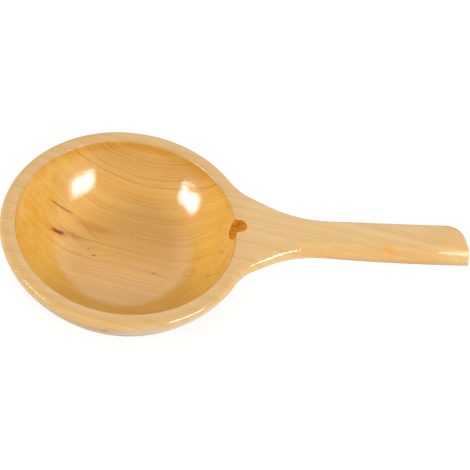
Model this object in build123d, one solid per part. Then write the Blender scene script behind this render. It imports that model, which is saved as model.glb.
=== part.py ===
from build123d import *
import math
import os

# A wooden water dipper: a turned bowl with a short flared handle in the plane of its rim.
# Lengths are millimetres and angles degrees. The bowl stands on z = 0 round the Z axis,
# and the handle runs along +X.

# Bowl
rim_radius = 80.0
bowl_height = 50.0
wall = 10.0
bottom = 9.0
shoulder_arc = 25.0
belly_arc = 110.0
belly_start = 28.0
foot_round = 15.0
floor_round = 30.0
lip_round = 1.2

# Neck and handle
overall_length = 303.4
grip_width = 23.5
end_swell = 1.3
root_thickness = 11.7
grip_thickness = 19.3
end_thickness = 18.8
neck_bury = 15.0
neck_reach = 29.0
neck_angle = 31.0
neck_flare = 75.0
neck_blend = 40.0
under_round = 10.0
under_round_share = 0.9
edge_round = 4.0
back_corner = 13.0
front_corner = 6.0
end_slant = 10.0
end_lean = 7.0
end_roll = 12.5
saw_overrun = 5.0

# Doweled joint between bowl and handle
seam_reach = 10.0
glue_gap = 0.05
end_gap = 0.5
dowel_chamfer = 0.6
locking_diameter = 8.0
locking_slope = 8.0
locking_depth = 24.0
pocket_radius = 6.4
pocket_sink = 4.5
pocket_bite = 6.7
joint_offset = 3.0
blind_diameter = 6.0
blind_length = 22.0
blind_spacing = 20.0
blind_drop = 7.5

# Places that follow from them
inner_radius = rim_radius - wall
end_width = grip_width + end_swell
root_x = rim_radius - neck_bury
seam_x = rim_radius + seam_reach
neck_x = rim_radius + neck_reach
tip_x = overall_length - rim_radius
grip_x = (neck_x + tip_x) / 2
blank_x = tip_x + back_corner
waste_x = blank_x + saw_overrun
end_skew = end_width * math.tan(math.radians(end_slant))
rim_plane = Plane.XY.offset(bowl_height)
seam_plane = Plane.YZ.offset(seam_x)


def on_circle(center, radius, angle):
    return center + Vector(radius, 0).rotate(Axis.Z, angle)


def turned_form(inset, floor_height, corner_round):
    """Solid of revolution that follows the bowl's outer profile, a given distance inside it."""
    shoulder = shoulder_arc - inset
    belly = belly_arc - inset
    shoulder_center = Vector(rim_radius - shoulder_arc, bowl_height)
    belly_center = on_circle(shoulder_center, belly_arc - shoulder_arc, 180 - belly_start)
    foot_angle = math.degrees(math.asin((floor_height - belly_center.Y) / belly))
    rim_point = on_circle(shoulder_center, shoulder, 0)
    turn_point = on_circle(shoulder_center, shoulder, -belly_start)
    foot_point = on_circle(belly_center, belly, foot_angle)
    with BuildSketch(Plane.XZ) as profile:
        with BuildLine():
            Line((0, bowl_height), rim_point)
            ThreePointArc(rim_point, on_circle(shoulder_center, shoulder, -belly_start / 2), turn_point)
            ThreePointArc(turn_point, on_circle(belly_center, belly, (foot_angle - belly_start) / 2),
                          foot_point)
            Line(foot_point, (0, floor_height))
            Line((0, floor_height), (0, bowl_height))
        make_face()
        fillet(profile.vertices().sort_by_distance(Plane.XZ.from_local_coords(foot_point))[0], corner_round)
    # The seam of the turned surface lies opposite the handle.
    return revolve(profile.sketch, axis=Axis.Z).rotate(Axis.Z, 180)


def grip_edge(x, side):
    """Point on the grip's straight plan edge, on the +Y side (1) or the -Y side (-1)."""
    share = (x - neck_x) / (tip_x - neck_x)
    return (x, side * (grip_width + (end_width - grip_width) * share) / 2)


def neck_root(side):
    spread = (neck_x - root_x) * math.tan(math.radians(neck_angle))
    return (root_x, side * (grip_width / 2 + spread))


def blank_prism():
    """Neck and grip in plan, cut down from the rim plane and left long at the end."""
    with BuildSketch(rim_plane) as plan:
        with BuildLine():
            FilletPolyline(neck_root(-1), grip_edge(neck_x, -1), grip_edge(blank_x, -1),
                           grip_edge(blank_x, 1), grip_edge(neck_x, 1), neck_root(1), close=True,
                           radius=[0, neck_flare, 0, 0, neck_flare, 0])
        make_face()
    return extrude(plan.sketch, amount=-bowl_height)


def thickness_at(x):
    """Thickness of neck and grip on a parabola through the three named thicknesses."""
    a, b, c = root_x, grip_x, tip_x
    at_root = root_thickness * (x - b) * (x - c) / ((a - b) * (a - c))
    at_grip = grip_thickness * (x - a) * (x - c) / ((b - a) * (b - c))
    at_end = end_thickness * (x - a) * (x - b) / ((c - a) * (c - b))
    return at_root + at_grip + at_end


def side_slab():
    """Slab between the rim plane and the underside's curve, as wide as the bowl."""
    middle_x = (root_x + blank_x) / 2
    ends_mean = (thickness_at(root_x) + thickness_at(blank_x)) / 2
    pull = 2 * thickness_at(middle_x) - ends_mean
    with BuildSketch(Plane.XZ.offset(-rim_radius)) as side_view:
        with BuildLine():
            under = Bezier((root_x, bowl_height - thickness_at(root_x)), (middle_x, bowl_height - pull),
                           (blank_x, bowl_height - thickness_at(blank_x)))
            Polyline(under @ 1, (blank_x, bowl_height), (root_x, bowl_height), under @ 0)
        make_face()
    return extrude(side_view.sketch, amount=2 * rim_radius)


def end_waste():
    """What is sawn off beyond the end's line and its two rounded corners.

    The saw cut slants in plan, and leans so that the end's lower edge reaches furthest."""
    outline = FilletPolyline(grip_edge(neck_x, -1), grip_edge(tip_x, -1), grip_edge(tip_x - end_skew, 1),
                             grip_edge(neck_x, 1), radius=[front_corner, back_corner])
    front_arc, end_line, back_arc = outline.edges()[1:4]
    outside = Polyline(back_arc @ 1, ((back_arc @ 1).X, rim_radius), (waste_x, rim_radius),
                       (waste_x, -rim_radius), ((front_arc @ 0).X, -rim_radius), front_arc @ 0)
    plan = make_face([front_arc, end_line, back_arc, *outside.edges()])
    lean = math.radians(end_lean)
    low_shift = (bowl_height - end_thickness) * math.tan(lean)
    cut_length = (bowl_height + saw_overrun) / math.cos(lean)
    return Pos(low_shift, 0) * extrude(plan, amount=cut_length, dir=(-math.sin(lean), 0, math.cos(lean)))


def roll_waste():
    """What is planed off above the end's rolled top edge, in side view."""
    roll_center = Vector(tip_x - end_roll, bowl_height - end_roll)
    roll = ThreePointArc(on_circle(roll_center, end_roll, 90), on_circle(roll_center, end_roll, 45),
                         on_circle(roll_center, end_roll, 0))
    waste_top = bowl_height + saw_overrun
    outside = Polyline(roll @ 1, (waste_x, (roll @ 1).Y), (waste_x, waste_top),
                       ((roll @ 0).X, waste_top), roll @ 0)
    side_view = make_face([roll, *outside.edges()])
    return Plane.XZ.offset(-rim_radius) * extrude(side_view, amount=2 * rim_radius)


def handle_form():
    """Sawn to plan and side view, rounded below, then trimmed to the shaped end."""
    sawn = blank_prism() & side_slab()
    low_edges = sawn.edges().filter_by(lambda edge: edge.center().Z < bowl_height - edge_round)
    side_edges = low_edges.filter_by(lambda edge: abs((edge % 0.5).X) > abs((edge % 0.5).Y))
    sawn = fillet(side_edges, min(under_round, under_round_share * root_thickness))
    return sawn - end_waste() - roll_waste()


def whole_form():
    """Bowl and handle as one carved form: joined, blended, rounded over and hollowed."""
    bowl_blank = turned_form(0, 0, foot_round)
    handle_blank = handle_form()
    body = bowl_blank + handle_blank
    body = fillet(new_edges(bowl_blank, handle_blank, combined=body), neck_blend)
    body = fillet(body.edges().group_by(Axis.Z)[-1], edge_round)
    body -= turned_form(wall, bottom, floor_round)
    lip = body.edges().group_by(Axis.Z)[-1].filter_by(lambda edge: edge.is_closed)
    return fillet(lip, lip_round)


def dowel(diameter, length):
    """Dowel along +Z from the origin, chamfered at both ends."""
    peg = Cylinder(diameter / 2, length, align=(Align.CENTER, Align.CENTER, Align.MIN))
    return chamfer(peg.edges().filter_by(GeomType.CIRCLE), dowel_chamfer)


def dowel_hole(diameter, length):
    return Cylinder(diameter / 2 + glue_gap, length, align=(Align.CENTER, Align.CENTER, Align.MIN))


# The locking dowel starts in a round-nosed pocket gouged into the inner edge of the rim
# at the handle's root, and slopes down through the neck into the handle.
pocket_x = inner_radius + pocket_bite - math.sqrt(pocket_radius**2 - pocket_sink**2)
slope = math.radians(locking_slope)
locking_plane = Plane(origin=(pocket_x, joint_offset, bowl_height - pocket_sink), x_dir=(0, 1, 0),
                      z_dir=(math.cos(slope), 0, -math.sin(slope)))
locking_length = (seam_x - pocket_x) / math.cos(slope) + locking_depth
pocket_nose = locking_plane * Sphere(pocket_radius)
pocket_run = locking_plane * Cylinder(pocket_radius, wall, align=(Align.CENTER, Align.CENTER, Align.MAX))
locking_dowel = locking_plane * dowel(locking_diameter, locking_length) - pocket_nose
locking_hole = locking_plane * dowel_hole(locking_diameter, locking_length + end_gap)

# Two blind dowels beside it cross the seam and keep the handle from turning.
blind_plane = Plane(origin=(seam_x, joint_offset, bowl_height - blind_drop), x_dir=(0, 1, 0),
                    z_dir=(1, 0, 0))
blind_places = [blind_plane.offset(-blind_length / 2) * Pos(side * blind_spacing / 2, 0) for side in (-1, 1)]
blind_dowels = [place * dowel(blind_diameter, blind_length) for place in blind_places]
blind_holes = [place * Pos(0, 0, -end_gap) * dowel_hole(blind_diameter, blind_length + 2 * end_gap)
               for place in blind_places]

body = whole_form() - pocket_nose - pocket_run - locking_hole - blind_holes
bowl = split(body, bisect_by=seam_plane, keep=Keep.BOTTOM)
handle = split(body, bisect_by=seam_plane, keep=Keep.TOP)

os.makedirs("parts", exist_ok=True)
export_step(bowl, "parts/bowl.step")
export_step(handle, "parts/handle.step")
export_step(locking_dowel, "parts/locking_dowel.step")
export_step(Compound(blind_dowels), "parts/blind_dowels.step")
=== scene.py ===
import math

import bmesh
import bpy
from mathutils import Matrix, Vector
from mathutils.bvhtree import BVHTree


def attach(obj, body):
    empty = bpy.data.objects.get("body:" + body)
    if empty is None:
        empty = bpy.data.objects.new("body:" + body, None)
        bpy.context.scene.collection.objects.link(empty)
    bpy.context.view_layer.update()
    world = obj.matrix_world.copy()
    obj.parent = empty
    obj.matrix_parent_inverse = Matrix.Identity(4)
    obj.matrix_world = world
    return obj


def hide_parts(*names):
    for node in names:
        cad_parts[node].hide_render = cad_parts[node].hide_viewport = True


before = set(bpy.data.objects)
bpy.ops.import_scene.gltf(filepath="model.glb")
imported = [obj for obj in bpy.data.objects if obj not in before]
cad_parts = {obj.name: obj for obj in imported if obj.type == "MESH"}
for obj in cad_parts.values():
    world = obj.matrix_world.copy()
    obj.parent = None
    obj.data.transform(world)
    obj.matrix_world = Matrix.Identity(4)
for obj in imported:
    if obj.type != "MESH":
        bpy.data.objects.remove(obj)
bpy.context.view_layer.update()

# A varnished wooden water dipper. The grain is one solid texture in the shared frame, so it runs
# unbroken through bowl, neck and handle. Texture lengths are millimetres: u runs along the grain,
# v across it and w up. A pair of values is where a tone starts and where it is complete, and a run
# is a start, an end and how soft both are.

MM_PER_M = 1000.0
M_PER_MM = 0.001
WHITE = (1.0, 1.0, 1.0, 1.0)

# Plank: the grain's turn in degrees, and the growth rings counted outwards from the pith
GRAIN_TURN = 15.0
PITH_V = -120.0
PITH_W = 20.0
SLOW_BEND = 5.0
QUICK_BEND = 1.8
FAR_RINGS = 145.0
RINGS_PER_MM = 0.36
RING_CROWDING = 0.0052
YEAR_SHIFT = 1.6
LATE_START = 0.35
LATE_PEAK = 0.93
STRONG_YEARS = (0.3, 0.7)
FAINTEST_LINE = 0.25

# Places where the rings bend round a loop, as u, v, half length, half width and rise
BOWL_SWIRLS = (
    (43.5, 1.5, 9.0, 6.0, 13.0),
    (-32.0, 7.4, 4.5, 3.2, 4.5),
    (-17.0, 2.5, 7.0, 4.0, 3.0),
)

# How far the rings shift per millimetre below the top of the grip
HANDLE_LEAN = 1.0

# Noise in the wood: waves per millimetre along u, v and w, detail and roughness
NOISE = {
    "slow": ((0.011, 0.03, 0.03), 1.0, 0.5),
    "quick": ((0.045, 0.12, 0.12), 2.0, 0.5),
    "ragged": ((0.2, 0.5, 0.5), 3.0, 0.5),
    "fibre": ((0.022, 0.85, 0.85), 4.0, 0.6),
    "pores": ((0.11, 2.2, 2.2), 2.0, 0.5),
    "cloud": ((0.018, 0.035, 0.035), 2.0, 0.5),
    "fading": ((0.03, 0.15, 0.15), 2.0, 0.5),
    "streaks": ((0.2, 0.42, 0.07), 4.0, 0.6),
    "blotches": ((0.05, 0.085, 0.06), 3.0, 0.5),
    "breaks": ((0.12, 0.1, 0.1), 2.0, 0.5),
    "ripple": ((0.28, 0.8, 0.8), 3.0, 0.6),
    "wave": ((0.07, 0.07, 0.07), 1.0, 0.5),
}
NOISE_MEAN = 0.5

# Noise from ring to ring: waves per millimetre from the pith, detail and roughness
RING_NOISE = {
    "bands": (0.16, 3.0, 0.65),
    "years": (0.21, 2.0, 0.5),
    "strength": (0.43, 2.0, 0.5),
}

# How far a ragged edge strays, and the share of that on finer marks
WANDER = 4.0
CORE_WANDER = 0.6
FLECK_WANDER = 0.5
GRIP_WANDER = 0.4
LINE_WANDER = 0.12

# Woods: the dipper's own, the dark locking dowel's and the blind dowels'
TONES = {
    "pale": (0.63, 0.40, 0.145),
    "warm": (0.60, 0.355, 0.11),
    "line": (0.46, 0.23, 0.055),
    "deep": (0.55, 0.285, 0.065),
    "dark": (0.22, 0.09, 0.02),
}
DARK_TONES = {
    "pale": (0.40, 0.15, 0.04),
    "warm": (0.33, 0.11, 0.03),
    "line": (0.20, 0.06, 0.015),
    "deep": (0.24, 0.07, 0.02),
    "dark": (0.10, 0.03, 0.01),
}
BEECH_TONES = {
    "pale": (0.58, 0.40, 0.22),
    "warm": (0.54, 0.35, 0.18),
    "line": (0.46, 0.28, 0.13),
    "deep": (0.50, 0.31, 0.15),
    "dark": (0.26, 0.14, 0.06),
}

# Grain: the part of each noise that counts, and how strongly it colours
BAND_PART = (0.32, 0.70)
FIBRE_PART = (0.42, 0.75)
CLOUD_PART = (0.5, 0.75)
PORE_PART = (0.64, 0.74)
LINE_SHARE = 0.32
FIBRE_SHARE = 0.28
CLOUD_SHARE = 0.3
PORE_SHARE = 0.15

# Marks on the grain, as colour and strength
PAINT = {
    "inner_line": ((0.42, 0.18, 0.02), 1.0),
    "strong_ring": ((0.34, 0.14, 0.025), 0.55),
    "dark_streak": ((0.66, 0.30, 0.02), 0.6),
    "pale_blotch": ((0.70, 0.43, 0.13), 0.7),
    "dark_blotch": ((0.66, 0.31, 0.01), 0.45),
    "pale_streak": ((0.74, 0.48, 0.18), 0.4),
    "amber_patch": ((0.62, 0.24, 0.008), 0.95),
    "knot_trail": ((0.50, 0.17, 0.01), 0.75),
    "knot_stain": ((0.52, 0.17, 0.015), 0.75),
    "knot_core": ((0.24, 0.05, 0.004), 0.95),
    "crack": ((0.14, 0.05, 0.012), 0.9),
    "fleck": ((0.21, 0.07, 0.012), 0.85),
    "rim_knot": ((0.62, 0.33, 0.18), 0.4),
    "grip_line": ((0.32, 0.14, 0.03), 0.5),
    "grip_patch": ((0.64, 0.26, 0.006), 0.9),
    "grip_trail": ((0.46, 0.20, 0.03), 0.45),
}

# Tints that multiply the colour under them. Inner deepens the wood's tone and adds painted bounce light;
# the far wall, near wall, outer and grip underside tints are painted shade, and the grip's front side tint
# is painted shade that fades towards the end as a painted highlight.
TINT = {
    "inner": (1.30, 1.18, 0.55),
    "far_wall_shaded_inner": (1.02, 0.87, 0.39),
    "near_wall_shade": (0.80, 0.78, 0.84),
    "end_grain": (0.92, 0.92, 0.92),
    "rim": (0.93, 0.91, 0.86),
    "outer": (0.64, 0.67, 0.72),
    "grip_front_side_shade": (0.95, 0.84, 0.56),
    "grip_underside_shade": (0.72, 0.75, 0.80),
}

# Bowl: the rim's height, the radius of the wall's middle there and how it curves in below,
# and the heights, radii and places where its parts change tone or take painted shade
RIM_Z = 50.0
WALL_MIDDLE = 75.0
WALL_CURVE = 0.0167
RIM_X = (88.0, 60.0)
OUTER_SIDE = (-1.0, 1.0)
OUTER_SHADE_Z = (48.0, 38.0)
BELLY_Z = (44.0, 28.0)
INNER_SIDE = (1.0, -1.0)
INNER_RADIUS = (70.6, 69.4)
INNER_TOP_Z = (49.6, 48.0)
INNER_FLOOR_Z = (5.0, 6.0)
NEAR_WALL_SHADE_Y = (-6.0, -44.0)
END_MIDDLE_U = 4.0
END_U = (44.0, 60.0)
END_Z = (12.0, 22.0)
LEFT_EDGE_RADIUS = (73.0, 76.0)
LEFT_EDGE_X = (10.0, -20.0)

# Rings inside the bowl: how clear their lines are, the strong ring in the far wall, and the rings past it
# where painted shade darkens the top of the far wall
INNER_LINE = 0.36
HEART_LINE = 0.3
END_FADING = 0.8
FADING_PART = (0.3, 0.65)
STRONG_RING = 176.2
STRONG_RING_BOW = 0.0009
STRONG_RING_WIDTH = 0.32
STRONG_RING_V = (40.0, 46.0)
FAR_WALL_TOP_RINGS = (-6.0, 10.0)

# End grain: each mark with its noise and the part of it that counts
END_GRAIN = (
    ("dark_streak", "streaks", (0.46, 0.66)),
    ("pale_blotch", "blotches", (0.47, 0.70)),
    ("dark_blotch", "blotches", (0.48, 0.38)),
    ("pale_streak", "streaks", (0.42, 0.28)),
)

# Spots in the bowl, as u, v, half length and half width
SPOTS = {
    "amber_patch": (-24.0, 23.3, 13.0, 3.4),
    "knot_trail": (-35.0, 12.6, 7.0, 2.2),
}

# Knot, with the half length and half width of its stain and its core
KNOT_U = -45.0
KNOT_V = 9.1
KNOT_SLANT = 0.3
STAIN_LENGTH = 7.0
STAIN_WIDTH = 2.6
CORE_LENGTH = 4.8
CORE_WIDTH = 1.8
CORE_PART = (0.3, 0.8)

# Crack, open on one side of its bend and a hairline on the other
CRACK_BEND_U = -39.7
CRACK_BEND_V = 25.7
CRACK_LEVEL = 4.0
CRACK_FALL = 0.6
CRACK_RISE = 0.215
OPEN_RUN = (-53.5, -40.0, 2.0)
OPEN_WIDTH = 0.45
HAIRLINE_RUN = (-34.0, -19.0, 3.0)
HAIRLINE_WIDTH = 0.3
HAIRLINE_SHARE = 0.6

# Dark flecks, as x, y, z and size
FLECKS = (
    (6.5, 26.1, 9.0, 0.7),
    (-17.8, 7.0, 9.0, 0.9),
    (-21.5, 11.9, 9.0, 0.7),
    (-25.7, 0.3, 9.0, 0.5),
    (20.6, -5.9, 9.0, 0.9),
    (53.6, -19.9, 26.5, 1.2),
    (62.2, -6.2, 33.6, 0.9),
    (-55.3, -5.1, 24.8, 0.5),
    (-14.0, -77.4, 42.0, 1.3),
)
FLECK_LENGTH = 1.6
FLECK_WIDTH = 0.7
FLECK_HEIGHT = 1.8
FLECK_PART = (0.2, 0.8)

# Small knot in the rim, as place and half size along x, y and z
RIM_KNOT = ((-72.5, 3.5), (22.5, 4.5), (50.0, 3.0))

# Notch: the middle of its round nose, its radius and the slope of its run
NOTCH_X = 72.15
NOTCH_Y = 3.0
NOTCH_Z = 45.5
NOTCH_RADIUS = 6.4
NOTCH_SLOPE = math.tan(math.radians(8.0))
NOTCH_EDGE = (NOTCH_RADIUS + 0.4, NOTCH_RADIUS + 0.1)
NOTCH_RUN = (61.0, 72.5, 0.5)
NOTCH_DARK = (0.55, 0.18, 0.008)
NOTCH_PALE = (0.80, 0.36, 0.015)
NOTCH_PART = (0.35, 0.65)
NOTCH_SHARE = 0.95

# Handle: where its tones change, the thin line along its top, the patch on its front, painted shade on its
# front side and underside, and the painted highlight where the front shade fades at the end
NECK_X = (92.0, 125.0)
END_HIGHLIGHT_X = (216.0, 190.0)
FRONT_LEAN = 0.4
FRONT_Y = (-8.5, -14.0)
UNDERSIDE_SHADE_Z = (43.0, 35.0)
UNDERSIDE_SHADE_X = (95.0, 130.0)
WORN_X = (188.0, 206.0)
GRIP_LINE_U = 151.8
GRIP_LINE_V = 47.3
GRIP_LINE_SLANT = -0.037
GRIP_LINE_WIDTH = 0.28
GRIP_LINE_RUN = (148.0, 196.0, 5.0)
GRIP_LINE_Z = (45.0, 48.0)
BREAK_PART = (0.36, 0.58)
PATCH_X = 167.0
PATCH_Z = 48.0
PATCH_SLANT = 0.31
PATCH_LENGTH = 5.5
PATCH_WIDTH = 1.7
PATCH_Y = (-7.0, -10.0)
TRAIL_WIDTH = 0.5
TRAIL_RUN = (170.0, 196.0, 4.0)

# Wood under the varnish
WOOD_ROUGHNESS = 0.5
FIBRE_ROUGHNESS = 0.2
WOOD_SPECULAR = 0.3
FIBRE_HEIGHT = 0.015

# Varnish: its slight haze, its ripples, how it pools in the bowl, and how much is missing in dull places
CLEAR_HAZE = 0.012
VARNISH_IOR = 1.6
RIPPLE_HEIGHT = 0.08
WAVE_HEIGHT = 0.25
POOL_RADIUS = 44.0
POOL_SLOPE = 0.13
LEFT_EDGE_DULL = 0.6
BELLY_DULL = 0.9
NOTCH_DULL = 0.97
STAIN_DULL = 0.8
WORN_DULL = 0.45
LOW_DULL = 0.8
WORN_HAZE = 0.2

# Sockets of a colour mix node
MIX_FROM = 6
MIX_TO = 7
MIX_RESULT = 2


class Graph:
    """Node tree of a material or a world, one call per node. Numbers and vectors may stand for links."""

    def __init__(self, owner):
        owner.use_nodes = True
        self.tree = owner.node_tree
        self.tree.nodes.clear()

    def fill(self, socket, value):
        if isinstance(value, bpy.types.NodeSocket):
            self.tree.links.new(value, socket)
        else:
            socket.default_value = value

    def node(self, kind, inputs, **settings):
        made = self.tree.nodes.new(kind)
        for name, value in settings.items():
            setattr(made, name, value)
        for name, value in inputs.items():
            self.fill(made.inputs[name], value)
        return made

    def math(self, operation, a, b=0.0):
        return self.node("ShaderNodeMath", {0: a, 1: b}, operation=operation).outputs[0]

    def vector_math(self, operation, a, b):
        return self.node("ShaderNodeVectorMath", {0: a, 1: b}, operation=operation).outputs

    def add(self, *terms):
        total = terms[0]
        for term in terms[1:]:
            total = self.math("ADD", total, term)
        return total

    def times(self, *factors):
        product = factors[0]
        for factor in factors[1:]:
            product = self.math("MULTIPLY", product, factor)
        return product

    def offset(self, value, amount):
        return self.math("SUBTRACT", value, amount)

    def above(self, value, start):
        """How far a value lies above a start, and 0 below it."""
        return self.math("MAXIMUM", self.offset(value, start), 0.0)

    def length(self, *sides):
        total = 0.0
        for side in sides:
            total = self.add(self.times(side, side), total)
        return self.math("SQRT", total)

    def split(self, vector):
        return self.node("ShaderNodeSeparateXYZ", {0: vector}).outputs

    def noise(self, vector, scale, detail, roughness):
        scaled = self.vector_math("MULTIPLY", vector, scale)[0]
        inputs = {"Vector": scaled, "Scale": 1.0, "Detail": detail, "Roughness": roughness}
        return self.node("ShaderNodeTexNoise", inputs).outputs["Fac"]

    def noise_along(self, value, scale, detail, roughness):
        inputs = {"W": self.times(value, scale), "Scale": 1.0, "Detail": detail, "Roughness": roughness}
        return self.node("ShaderNodeTexNoise", inputs, noise_dimensions="1D").outputs["Fac"]

    def step(self, value, low, high):
        """0 below low and 1 above high, with a soft step between. Swapped ends fall instead of rising."""
        inputs = {"Value": value, "From Min": low, "From Max": high}
        return self.node("ShaderNodeMapRange", inputs, interpolation_type="SMOOTHSTEP").outputs["Result"]

    def window(self, value, low, high, soft):
        rise = self.step(value, low - soft, low + soft)
        fall = self.step(value, high + soft, high - soft)
        return self.times(rise, fall)

    def bell(self, *pairs):
        """Bell-shaped spot: each pair is a value measured from its centre and the half width there."""
        total = 0.0
        for value, width in pairs:
            share = self.math("DIVIDE", value, width)
            total = self.add(self.times(share, share), total)
        return self.math("POWER", math.e, self.times(total, -1.0))

    def mix(self, factor, a, b, blend="MIX"):
        made = self.node("ShaderNodeMix", {"Factor": factor}, data_type="RGBA", blend_type=blend)
        for socket, color in ((MIX_FROM, a), (MIX_TO, b)):
            self.fill(made.inputs[socket], (*color, 1.0) if isinstance(color, tuple) else color)
        return made.outputs[MIX_RESULT]

    def paint(self, color, name, *shares):
        """One of the named marks over a colour, where all the shares meet."""
        tone, strength = PAINT[name]
        return self.mix(self.times(*shares, strength), color, tone)

    def tint(self, color, name, *shares):
        """A colour multiplied by one of the named tints, where all the shares meet."""
        return self.mix(self.times(*shares), color, TINT[name], blend="MULTIPLY")

    def bump(self, height):
        """Normal bent by a height in millimetres."""
        inputs = {"Height": height, "Strength": 1.0, "Distance": M_PER_MM}
        return self.node("ShaderNodeBump", inputs).outputs["Normal"]


class Wood(Graph):
    """Node tree of a wooden piece, with the fields of the plank that the dipper is made from."""

    def __init__(self, owner, swirls, lean):
        super().__init__(owner)
        coords = self.node("ShaderNodeTexCoord", {}).outputs["Object"]
        self.place = self.vector_math("MULTIPLY", coords, (MM_PER_M, MM_PER_M, MM_PER_M))[0]
        self.x, self.y, self.z = self.split(self.place)
        self.grain = self.turned(self.place)
        self.u, self.v, self.w = self.split(self.grain)
        self.radius = self.length(self.x, self.y)
        self.from_pith = self.length(self.offset(self.v, PITH_V), self.offset(self.w, PITH_W))
        self.ragged = self.grain_noise("ragged")
        self.wander = self.times(self.offset(self.ragged, NOISE_MEAN), WANDER)
        self.depth = self.ring_depth(swirls, lean)
        self.lines = self.ring_lines()

    def turned(self, vector):
        """A vector with its first part along the grain."""
        inputs = {"Vector": vector, "Angle": math.radians(GRAIN_TURN)}
        return self.node("ShaderNodeVectorRotate", inputs, rotation_type="Z_AXIS").outputs[0]

    def grain_noise(self, name):
        return self.noise(self.grain, *NOISE[name])

    def ring_noise(self, name):
        return self.noise_along(self.depth, *RING_NOISE[name])

    def ring_depth(self, swirls, lean):
        """Distance from the pith through the rings, which are wavy, bend round each swirl, and lean
        below the top of the grip."""
        slow = self.offset(self.grain_noise("slow"), NOISE_MEAN)
        quick = self.offset(self.grain_noise("quick"), NOISE_MEAN)
        depth = self.add(self.from_pith, self.times(slow, SLOW_BEND), self.times(quick, QUICK_BEND))
        for u, v, length, width, rise in swirls:
            swirl = self.bell((self.offset(self.u, u), length), (self.offset(self.v, v), width))
            depth = self.add(depth, self.times(swirl, rise))
        if lean:
            below_top = self.times(self.offset(self.w, RIM_Z), self.step(self.x, *NECK_X))
            depth = self.add(depth, self.times(below_top, lean))
        return depth

    def ring_lines(self):
        """Dark late wood at the end of each year, stronger in some years than in others."""
        far = self.above(self.depth, FAR_RINGS)
        count = self.add(self.times(self.depth, RINGS_PER_MM), self.times(far, far, RING_CROWDING))
        year = self.math("FRACT", self.add(count, self.times(self.ring_noise("years"), YEAR_SHIFT)))
        late = self.times(self.step(year, LATE_START, LATE_PEAK), self.step(year, 1.0, LATE_PEAK))
        strength = self.step(self.ring_noise("strength"), *STRONG_YEARS)
        return self.times(late, self.add(FAINTEST_LINE, self.times(strength, 1.0 - FAINTEST_LINE)))


def varnished_wood(name, tones, marks=None, swirls=(), lean=0.0, pool=0.0):
    """Clear-varnished pale wood. Marks paints a piece's own marks over the grain colour, and gives the
    varnish's weight and roughness there. Pool is the steepest slope of varnish pooled in the bowl."""
    material = bpy.data.materials.new(name)
    wood = Wood(material, swirls, lean)
    fibre = wood.grain_noise("fibre")
    layers = (
        (wood.lines, LINE_SHARE, "line"),
        (wood.step(fibre, *FIBRE_PART), FIBRE_SHARE, "line"),
        (wood.step(wood.grain_noise("cloud"), *CLOUD_PART), CLOUD_SHARE, "deep"),
        (wood.step(wood.grain_noise("pores"), *PORE_PART), PORE_SHARE, "dark"),
    )
    color = wood.mix(wood.step(wood.ring_noise("bands"), *BAND_PART), tones["pale"], tones["warm"])
    for layer, share, tone in layers:
        color = wood.mix(wood.times(layer, share), color, tones[tone])
    coat = 1.0
    haze = CLEAR_HAZE
    if marks:
        color, coat, haze = marks(wood, color)

    ripple = wood.times(wood.grain_noise("ripple"), RIPPLE_HEIGHT)
    wave = wood.times(wood.noise(wood.place, *NOISE["wave"]), WAVE_HEIGHT)
    varnish = wood.add(ripple, wave)
    if pool:
        turn = wood.times(wood.math("MINIMUM", wood.radius, POOL_RADIUS), math.pi / POOL_RADIUS)
        varnish = wood.add(varnish, wood.times(wood.math("COSINE", turn), -pool * POOL_RADIUS / math.pi))
    inputs = {
        "Base Color": color,
        "Roughness": wood.add(WOOD_ROUGHNESS, wood.times(fibre, FIBRE_ROUGHNESS)),
        "Specular IOR Level": WOOD_SPECULAR,
        "Normal": wood.bump(wood.times(fibre, FIBRE_HEIGHT)),
        "Coat Weight": coat,
        "Coat Roughness": haze,
        "Coat IOR": VARNISH_IOR,
        "Coat Normal": wood.bump(varnish),
    }
    shader = wood.node("ShaderNodeBsdfPrincipled", inputs)
    wood.node("ShaderNodeOutputMaterial", {"Surface": shader.outputs[0]})
    return material


def inner_tones(wood, inside, ends, color):
    """Deeper, brighter orange inside the bowl, partly the wood's own tone and partly painted bounce light;
    painted shade on the top of the far wall and on the near wall; clearer rings, and the strong ring in
    the far wall.
    """
    bow = wood.times(wood.u, wood.u, STRONG_RING_BOW)
    from_ring = wood.offset(wood.from_pith, wood.offset(STRONG_RING, bow))
    far_wall_top = wood.step(from_ring, *FAR_WALL_TOP_RINGS)
    # Painted light: the inside tint stands partly for bounce light, and the tint past the strong ring
    # darkens the top of the far wall as painted shade.
    deeper = wood.mix(far_wall_top, TINT["inner"], TINT["far_wall_shaded_inner"])
    color = wood.mix(inside, color, deeper, blend="MULTIPLY")
    faded = wood.step(wood.grain_noise("fading"), *FADING_PART)
    plain = wood.offset(1.0, wood.times(ends, END_FADING))
    clear = wood.add(INNER_LINE, wood.times(far_wall_top, HEART_LINE))
    color = wood.paint(color, "inner_line", inside, wood.lines, faded, plain, clear)
    strong = wood.bell((wood.add(from_ring, wood.times(wood.wander, LINE_WANDER)), STRONG_RING_WIDTH))
    color = wood.paint(color, "strong_ring", inside, strong, wood.step(wood.v, *STRONG_RING_V))
    # Painted shade: the near wall darker towards the front.
    return wood.tint(color, "near_wall_shade", inside, wood.step(wood.y, *NEAR_WALL_SHADE_Y))


def end_grain(wood, ends, color):
    """Streaks and blotches where the wall cuts across the fibres, at both ends of the grain."""
    color = wood.tint(color, "end_grain", ends)
    fields = {name: wood.grain_noise(name) for name in ("streaks", "blotches")}
    for mark, field, part in END_GRAIN:
        color = wood.paint(color, mark, ends, wood.step(fields[field], *part))
    return color


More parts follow.
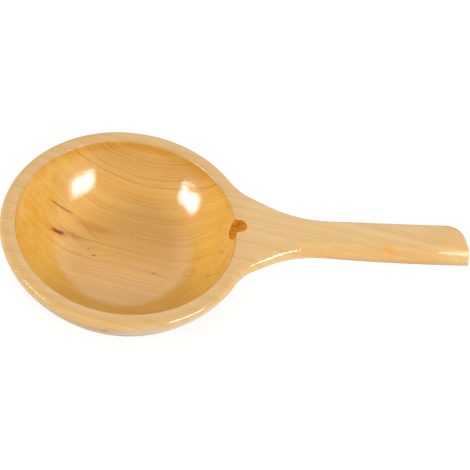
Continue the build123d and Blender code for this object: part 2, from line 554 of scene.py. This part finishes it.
def knot(wood, inside, color):
    """The amber patch, and the small red knot with its trail. Also gives the knot's stain."""
    for name, (u, v, length, width) in SPOTS.items():
        across = wood.add(wood.offset(wood.v, v), wood.wander)
        spot = wood.bell((wood.offset(wood.u, u), length), (across, width))
        color = wood.paint(color, name, inside, spot)
    along = wood.offset(wood.u, KNOT_U)
    across = wood.offset(wood.v, wood.add(KNOT_V, wood.times(along, KNOT_SLANT)))
    stain = wood.bell((along, STAIN_LENGTH), (wood.add(across, wood.wander), STAIN_WIDTH))
    color = wood.paint(color, "knot_stain", inside, stain)
    core_across = wood.add(across, wood.times(wood.wander, CORE_WANDER))
    core = wood.bell((along, CORE_LENGTH), (core_across, CORE_WIDTH))
    color = wood.paint(color, "knot_core", inside, wood.step(core, *CORE_PART))
    return color, wood.times(inside, stain)


def crack(wood, inside, color):
    """The crack above the knot, which rises to its bend and falls beyond it."""
    fall = wood.times(wood.above(wood.u, CRACK_BEND_U + CRACK_LEVEL), CRACK_FALL)
    rise = wood.times(wood.above(wood.times(wood.u, -1.0), -CRACK_BEND_U), CRACK_RISE)
    stray = wood.times(wood.wander, LINE_WANDER)
    across = wood.add(wood.offset(wood.v, CRACK_BEND_V), fall, rise, stray)
    open_part = wood.times(wood.window(wood.u, *OPEN_RUN), wood.bell((across, OPEN_WIDTH)))
    hairline = wood.times(wood.window(wood.u, *HAIRLINE_RUN), wood.bell((across, HAIRLINE_WIDTH)),
                          HAIRLINE_SHARE)
    return wood.paint(color, "crack", inside, wood.math("MAXIMUM", open_part, hairline))


def flecks(wood, color):
    """Small dark flecks, ragged and longer along the grain."""
    for x, y, z, size in FLECKS:
        apart = wood.vector_math("SUBTRACT", wood.place, (x, y, z))[0]
        along, across, up = wood.split(wood.turned(apart))
        fleck = wood.bell(
            (wood.add(along, wood.wander), FLECK_LENGTH * size),
            (wood.add(across, wood.times(wood.wander, FLECK_WANDER)), FLECK_WIDTH * size),
            (up, FLECK_HEIGHT),
        )
        color = wood.paint(color, "fleck", wood.step(fleck, *FLECK_PART))
    return color


def notch_tone(wood, color):
    """Deep orange-brown inside the notch: end grain, partly darkened as painted shade in the recess. Also
    gives the notch's place.
    """
    from_nose = wood.vector_math("DISTANCE", wood.place, (NOTCH_X, NOTCH_Y, NOTCH_Z))["Value"]
    axis_z = wood.add(NOTCH_Z, wood.times(wood.offset(NOTCH_X, wood.x), NOTCH_SLOPE))
    from_axis = wood.length(wood.offset(wood.y, NOTCH_Y), wood.offset(wood.z, axis_z))
    run = wood.times(wood.step(from_axis, *NOTCH_EDGE), wood.window(wood.x, *NOTCH_RUN))
    notch = wood.math("MAXIMUM", run, wood.step(from_nose, *NOTCH_EDGE))
    # Painted shade: a deeper orange-brown in the notch than around it, for shade in the recess.
    shaded_notch_grain = wood.mix(wood.step(wood.ragged, *NOTCH_PART), NOTCH_DARK, NOTCH_PALE)
    return wood.mix(wood.times(notch, NOTCH_SHARE), color, shaded_notch_grain), notch


def bowl_marks(wood, color):
    """The rim's tone, painted shade on the lower outer wall, then everything inside the bowl."""
    rim = wood.step(wood.x, *RIM_X)
    color = wood.tint(color, "rim", rim)
    drop = wood.offset(RIM_Z, wood.z)
    from_middle = wood.add(wood.offset(wood.radius, WALL_MIDDLE), wood.times(drop, drop, WALL_CURVE))
    outer = wood.times(wood.step(from_middle, *OUTER_SIDE), rim)
    # Painted shade: the outer wall darker towards its lower part.
    color = wood.tint(color, "outer", outer, wood.step(wood.z, *OUTER_SHADE_Z))
    belly = wood.times(outer, wood.step(wood.z, *BELLY_Z))
    axes = zip((wood.x, wood.y, wood.z), RIM_KNOT)
    rim_knot = wood.bell(*((wood.offset(axis, middle), width) for axis, (middle, width) in axes))
    color = wood.paint(color, "rim_knot", rim_knot)

    inside = wood.times(
        wood.step(wood.radius, *INNER_RADIUS),
        wood.step(wood.z, *INNER_TOP_Z),
        wood.step(wood.z, *INNER_FLOOR_Z),
        wood.step(from_middle, *INNER_SIDE),
    )
    from_end_middle = wood.math("ABSOLUTE", wood.offset(wood.u, END_MIDDLE_U))
    ends = wood.times(inside, wood.step(from_end_middle, *END_U), wood.step(wood.z, *END_Z))
    color = inner_tones(wood, inside, ends, color)
    color = end_grain(wood, ends, color)
    color, stain = knot(wood, inside, color)
    color = crack(wood, inside, color)
    color = flecks(wood, color)
    color, notch = notch_tone(wood, color)

    left_edge = wood.times(wood.step(wood.radius, *LEFT_EDGE_RADIUS), wood.step(wood.x, *LEFT_EDGE_X))
    outside = wood.math("MAXIMUM", wood.times(left_edge, LEFT_EDGE_DULL), wood.times(belly, BELLY_DULL))
    dull = wood.add(wood.times(notch, NOTCH_DULL), wood.times(stain, STAIN_DULL), outside)
    return color, wood.above(1.0, dull), CLEAR_HAZE


def handle_marks(wood, color):
    """The thin dark line along the top of the grip, the front side painted deeper as painted shade and
    paler near the end as a painted highlight, painted shade along the underside, and the amber patch on
    the side.
    """
    slant = wood.times(wood.offset(wood.u, GRIP_LINE_U), GRIP_LINE_SLANT)
    line_across = wood.offset(wood.v, wood.add(GRIP_LINE_V, slant))
    color = wood.paint(
        color,
        "grip_line",
        wood.bell((line_across, GRIP_LINE_WIDTH)),
        wood.window(wood.u, *GRIP_LINE_RUN),
        wood.step(wood.z, *GRIP_LINE_Z),
        wood.step(wood.grain_noise("breaks"), *BREAK_PART),
    )
    lean = wood.times(wood.offset(wood.z, RIM_Z), FRONT_LEAN)
    side = wood.step(wood.add(wood.y, lean), *FRONT_Y)
    past_neck = wood.step(wood.x, *NECK_X)
    short_of_end_highlight = wood.step(wood.x, *END_HIGHLIGHT_X)
    # Painted shade on the front side, fading towards the end as a painted highlight.
    color = wood.tint(color, "grip_front_side_shade", side, past_neck, short_of_end_highlight)
    # Painted shade: the grip darker along its underside from the neck on.
    low = wood.times(wood.step(wood.z, *UNDERSIDE_SHADE_Z), wood.step(wood.x, *UNDERSIDE_SHADE_X))
    color = wood.tint(color, "grip_underside_shade", low)

    along = wood.offset(wood.x, PATCH_X)
    stray = wood.times(wood.wander, GRIP_WANDER)
    across = wood.add(wood.offset(wood.z, PATCH_Z), wood.times(along, PATCH_SLANT), stray)
    patch = wood.bell((along, PATCH_LENGTH), (across, PATCH_WIDTH))
    color = wood.paint(color, "grip_patch", patch, wood.step(wood.y, *PATCH_Y))
    trail = wood.bell((across, TRAIL_WIDTH))
    color = wood.paint(color, "grip_trail", trail, wood.window(wood.x, *TRAIL_RUN), side)

    worn = wood.step(wood.x, *WORN_X)
    dull = wood.math("MAXIMUM", wood.times(worn, WORN_DULL), wood.times(low, LOW_DULL))
    return color, wood.offset(1.0, dull), wood.add(CLEAR_HAZE, wood.times(worn, WORN_HAZE))


MATERIALS = {
    "bowl": varnished_wood("bowl_wood", TONES, bowl_marks, swirls=BOWL_SWIRLS, pool=POOL_SLOPE),
    "handle": varnished_wood("handle_wood", TONES, handle_marks, lean=HANDLE_LEAN),
    "locking_dowel": varnished_wood("locking_dowel_wood", DARK_TONES),
    "blind_dowels": varnished_wood("blind_dowel_wood", BEECH_TONES),
}
for node, material in MATERIALS.items():
    node_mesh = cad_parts[node].data
    node_mesh.materials.clear()
    node_mesh.materials.append(material)

# Rounding of the upper front edge in metres: the solids' own, at the seam, along the grip and at its end
SOLID_ROUND = 0.004
NECK_ROUND = 0.0075
GRIP_ROUND = 0.0065
END_ROUND = 0.0175

# Where the rounding changes from one to the next, and how it grows towards the end
BLEND_START = 0.058
SEAM_X = 0.090
GRIP_X = 0.150
GROW_X = 0.193
GROW_EASE = 0.008
GROW_SLOPE = 0.42

# Probes for the front wall, cast along +Y below the rounding and short of the end's corner
RIM_HEIGHT = 0.050
WALL_HEIGHT = 0.0435
STRAIGHT_X = 0.212
PROBE_Y = -0.1
PROBE_INSET = 0.00002

# Mesh of the rounded edge
WELD_DISTANCE = 1e-6
SPLIT_ROUNDS = 7
SPLIT_HEIGHT = 0.037
LONGEST_EDGE = 0.0022
SLIVER_AREA = 1e-10
CREASE_ANGLE = math.radians(32.0)


def soft_share(value, low, high):
    share = min(max((value - low) / (high - low), 0.0), 1.0)
    return share * share * (3.0 - 2.0 * share)


def front_round(x):
    """Rounding of the front edge at x, larger from the neck on than on the rim."""
    at_neck = SOLID_ROUND + (NECK_ROUND - SOLID_ROUND) * soft_share(x, BLEND_START, SEAM_X)
    at_grip = at_neck + (GRIP_ROUND - NECK_ROUND) * soft_share(x, SEAM_X, GRIP_X)
    past = max(x - GROW_X, 0.0)
    eased = past * past / (2.0 * GROW_EASE) if past < GROW_EASE else past - GROW_EASE / 2.0
    return min(at_grip + GROW_SLOPE * eased, END_ROUND)


def needs_split(edge):
    """Whether a mesh edge lies by the upper front edge and is too long to follow its rounding."""
    ends = [vert.co for vert in edge.verts]
    middle = (ends[0] + ends[1]) / 2
    past_start = max(end.x for end in ends) > BLEND_START
    in_front = min(end.y for end in ends) < 0.0
    return past_start and in_front and middle.z > SPLIT_HEIGHT and edge.calc_length() > LONGEST_EDGE


def round_front_edge(shape):
    """Splits the mesh by the upper front edge and draws it in to the larger rounding."""
    solid = BVHTree.FromBMesh(shape)
    first_x = min(vert.co.x for vert in shape.verts) + PROBE_INSET
    last_x = min(max(vert.co.x for vert in shape.verts) - PROBE_INSET, STRAIGHT_X)
    for _ in range(SPLIT_ROUNDS):
        long_edges = [edge for edge in shape.edges if needs_split(edge)]
        bmesh.ops.subdivide_edges(shape, edges=long_edges, cuts=1)
        bmesh.ops.triangulate(shape, faces=shape.faces)
    for vert in shape.verts:
        x, y, z = vert.co
        if x < BLEND_START or y > 0.0 or z < RIM_HEIGHT - END_ROUND:
            continue
        probe = Vector((min(max(x, first_x), last_x), PROBE_Y, WALL_HEIGHT))
        wall, normal = solid.ray_cast(probe, Vector((0.0, 1.0, 0.0)))[:2]
        if wall is None:
            continue
        reach = front_round(x)
        outward = Vector((normal.x, normal.y, 0.0)).normalized()
        inward = reach - (wall.y - y) * outward.y
        upward = reach - (RIM_HEIGHT - z)
        span = math.hypot(inward, upward)
        if inward > 0.0 and upward > 0.0 and span > reach:
            pull = 1.0 - reach / span
            slide = soft_share(x, SEAM_X, GRIP_X)
            vert.co.x -= slide * outward.x * inward * pull
            vert.co.y -= (slide * outward.y + (1.0 - slide) / outward.y) * inward * pull
            vert.co.z -= upward * pull


def softened(node):
    """Copy of a node whose upper front edge is rounder from the neck on, all inside the solid."""
    shape = bmesh.new()
    shape.from_mesh(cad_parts[node].data)
    bmesh.ops.remove_doubles(shape, verts=shape.verts, dist=WELD_DISTANCE)
    round_front_edge(shape)
    slivers = [face for face in shape.faces if face.calc_area() < SLIVER_AREA]
    bmesh.ops.delete(shape, geom=slivers, context="FACES_ONLY")
    for edge in shape.edges:
        edge.smooth = edge.calc_face_angle(0.0) < CREASE_ANGLE
    for face in shape.faces:
        face.smooth = True
    mesh = bpy.data.meshes.new(f"soft_{node}")
    shape.to_mesh(mesh)
    shape.free()
    mesh.materials.append(MATERIALS[node])
    copy = bpy.data.objects.new(f"soft_{node}", mesh)
    bpy.context.scene.collection.objects.link(copy)
    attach(copy, "root")
    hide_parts(node)


softened("bowl")
softened("handle")

# Pale floor, just under the foot
FLOOR_REACH = 4.0
FLOOR_Z = -1e-4
FLOOR_CORNERS = ((-1, -1), (1, -1), (1, 1), (-1, 1))
floor_points = [(FLOOR_REACH * side_x, FLOOR_REACH * side_y, FLOOR_Z) for side_x, side_y in FLOOR_CORNERS]
floor_mesh = bpy.data.meshes.new("floor")
floor_mesh.from_pydata(floor_points, [], [(0, 1, 2, 3)])
floor = bpy.data.objects.new("floor", floor_mesh)
bpy.context.scene.collection.objects.link(floor)
floor_material = bpy.data.materials.new("pale_floor")
floor_mesh.materials.append(floor_material)
floor_graph = Graph(floor_material)
floor_shader = floor_graph.node("ShaderNodeBsdfPrincipled", {
    "Base Color": (0.34, 0.34, 0.34, 1.0),
    "Roughness": 0.9,
    "Specular IOR Level": 0.1,
    "Emission Color": WHITE,
    "Emission Strength": 0.72,
})
floor_graph.node("ShaderNodeOutputMaterial", {"Surface": floor_shader.outputs[0]})

# White studio with a broad bright panel behind the dipper, which its level faces mirror
STUDIO_LIGHT = 0.84
PANEL_LIGHT = 0.80
PANEL_TOP = (0.92, 0.62)
PANEL_FOOT = (0.30, 0.62)
PANEL_NORTH = (-0.2, 0.6)
ZENITH_EASE = 0.01
world = bpy.data.worlds.new("studio")
studio = Graph(world)
east, north, height = studio.split(studio.node("ShaderNodeTexCoord", {}).outputs["Generated"])
northward = studio.math("DIVIDE", north, studio.add(studio.length(east, north), ZENITH_EASE))
panel = studio.times(
    studio.step(height, *PANEL_TOP),
    studio.step(height, *PANEL_FOOT),
    studio.step(northward, *PANEL_NORTH),
)
studio_light = studio.add(STUDIO_LIGHT, studio.times(panel, PANEL_LIGHT))
backdrop = studio.node("ShaderNodeBackground", {"Color": WHITE, "Strength": studio_light})
studio.node("ShaderNodeOutputWorld", {"Surface": backdrop.outputs[0]})
bpy.context.scene.world = world

LIGHT_AIM = Vector((0.03, 0.0, 0.03))
LIGHT_DISTANCE = 1.6
LIGHT_RADIANCE = 20.0

# Softboxes, as direction from the bowl, width, height and turn in degrees
SOFTBOXES = {
    "softbox_right": ((0.696, -0.608, 0.381), 0.70, 0.29, -9.0),
    "softbox_left": ((-0.912, -0.292, 0.287), 0.65, 0.25, 10.0),
}


def softbox(name, direction, width, height, turn):
    """Rectangular light that faces the bowl, turned about its own axis by an angle in degrees."""
    lamp = bpy.data.lights.new(name, "AREA")
    lamp.shape = "RECTANGLE"
    lamp.size = width
    lamp.size_y = height
    lamp.energy = LIGHT_RADIANCE * math.pi * width * height
    holder = bpy.data.objects.new(name, lamp)
    away = Vector(direction).normalized()
    facing = away.to_track_quat("Z", "Y").to_matrix() @ Matrix.Rotation(math.radians(turn), 3, "Z")
    holder.matrix_world = Matrix.Translation(LIGHT_AIM + away * LIGHT_DISTANCE) @ facing.to_4x4()
    bpy.context.scene.collection.objects.link(holder)


for softbox_name, settings in SOFTBOXES.items():
    softbox(softbox_name, *settings)

# Camera at the photograph's angle
FOCAL_PX = 2500.0
FRAME_PX = 470.0
SENSOR_WIDTH = 36.0
NEAR_CLIP = 0.05
ELEVATION = math.radians(50.745)
AZIMUTH = math.radians(10.233)
ROLL = math.radians(10.256)
TARGET = Vector((0.068809, -0.004564, 0.050))
TARGET_DISTANCE = 1.581306
heading = Vector((math.sin(AZIMUTH), math.cos(AZIMUTH), 0.0))
forward = heading * math.cos(ELEVATION) - Vector((0.0, 0.0, math.sin(ELEVATION)))
level = Vector((math.cos(AZIMUTH), -math.sin(AZIMUTH), 0.0))
upright = level.cross(forward)
right = math.cos(ROLL) * level + math.sin(ROLL) * upright
up = math.cos(ROLL) * upright - math.sin(ROLL) * level
camera = bpy.data.objects.new("camera", bpy.data.cameras.new("camera"))
camera.data.sensor_width = SENSOR_WIDTH
camera.data.lens = SENSOR_WIDTH * FOCAL_PX / FRAME_PX
camera.data.clip_start = NEAR_CLIP
turned = Matrix((right, up, -forward)).transposed().to_4x4()
camera.matrix_world = Matrix.Translation(TARGET - TARGET_DISTANCE * forward) @ turned
bpy.context.scene.collection.objects.link(camera)
bpy.context.scene.camera = camera
bpy.context.scene.view_settings.view_transform = "Standard"
